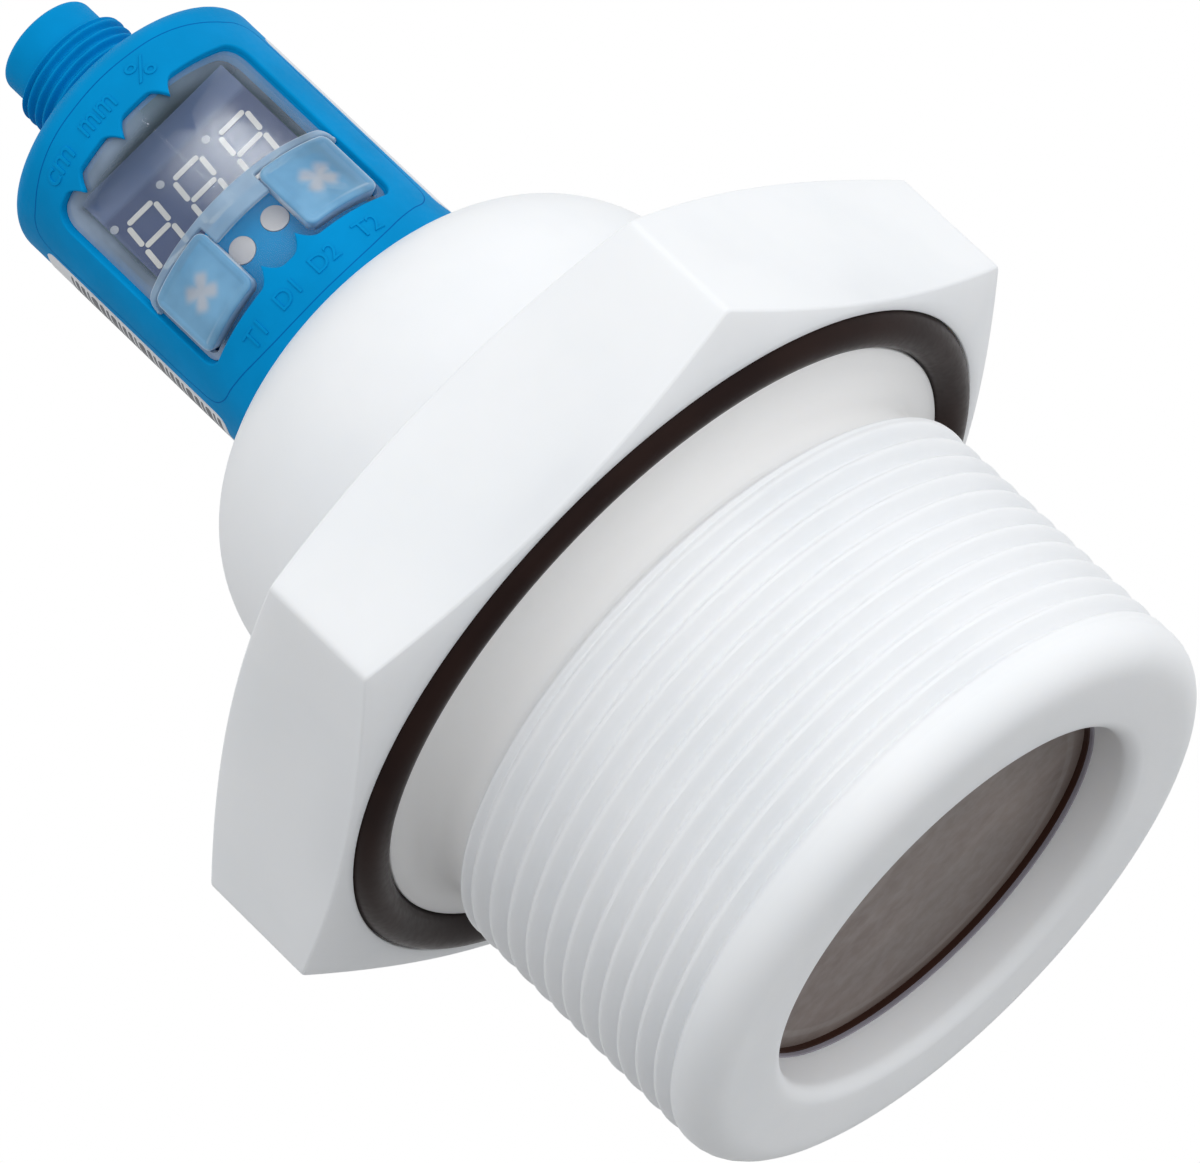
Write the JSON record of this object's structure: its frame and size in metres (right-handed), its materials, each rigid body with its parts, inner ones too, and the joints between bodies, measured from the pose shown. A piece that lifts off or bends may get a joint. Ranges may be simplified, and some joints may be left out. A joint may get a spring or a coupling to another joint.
{
  "type": "ultrasonic level sensor",
  "caption": "Ultrasonic level sensor: white fluoroplastic pipe-thread connection with hexagon, seal ring and recessed membrane, blue display head with two keys and a round connector.",
  "frame": {"origin": "on the axis, in the plane of the front rim of the threaded end", "axes": "+Z along the axis from the membrane to the connector; the display looks along -Y"},
  "size_m": [0.0858, 0.0758, 0.1192],
  "materials": {
    "pvdf_white": "natural white fluoroplastic, soft satin, slightly translucent",
    "fkm_dark": "dark brown-black fluoro rubber, satin",
    "membrane_film": "brown-grey film, satin with soft streaks",
    "epoxy_foam": "cast epoxy with hollow glass beads",
    "ceramic_grey": "sintered ceramic",
    "black_plastic": "moulded black plastic",
    "foam_grey": "closed-cell foam",
    "glass_bead": "coated bead",
    "lead_insulation": "insulated lead",
    "board_green": "glass-fibre board with green mask",
    "potting_black": "cast polyurethane",
    "blue_plastic": "saturated blue moulded plastic, fine satin",
    "label_silver": "bare silver-white film",
    "clear_cover": "clear to milky soft moulding",
    "milky_key": "milky translucent soft moulding",
    "cream_plastic": "cream moulded plastic",
    "display_slate": "dark slate display face",
    "segment_cream": "unlit display bars",
    "contact_gold": "gold-plated contacts"
  },
  "bodies": {
    "sensor": {"process_housing": "pvdf_white", "flange_o_ring": "fkm_dark", "transducer_membrane": "membrane_film", "membrane_seal": "fkm_dark", "matching_layer": "epoxy_foam", "piezo_disc": "ceramic_grey", "transducer_cup": "black_plastic", "backing_foam": "foam_grey", "temperature_sensor": "glass_bead", "piezo_lead_a": "lead_insulation", "piezo_lead_b": "lead_insulation", "main_board": "board_green", "board_components": "black_plastic", "potting_compound": "potting_black", "head_shell": "blue_plastic", "head_seal": "fkm_dark", "rating_label": "label_silver", "display_cover": "clear_cover", "key_carrier": "blue_plastic", "light_guide_d1": "cream_plastic", "light_guide_d2": "cream_plastic", "led_d1": "cream_plastic", "led_d2": "cream_plastic", "switch_t1": "black_plastic", "switch_t2": "black_plastic", "display_module": "display_slate", "display_segments": "segment_cream", "display_board": "board_green", "board_header": "black_plastic", "contact_carrier": "black_plastic", "contact_pins": "contact_gold", "connector_board": "board_green"},
    "key_t1": {"key_t1": "milky_key", "plunger_t1": "cream_plastic", "switch_button_t1": "cream_plastic"},
    "key_t2": {"key_t2": "milky_key", "plunger_t2": "cream_plastic", "switch_button_t2": "cream_plastic"}
  },
  "joints": [
    {"name": "key_t1_press", "type": "slide", "parent": "sensor", "child": "key_t1", "axis": [0, 1, 0], "range_m": [0, 0.0004], "stiffness_N_per_m": 3000, "springref_m": -0.0003},
    {"name": "key_t2_press", "type": "slide", "parent": "sensor", "child": "key_t2", "axis": [0, 1, 0], "range_m": [0, 0.0004], "stiffness_N_per_m": 3000, "springref_m": -0.0003}
  ]
}
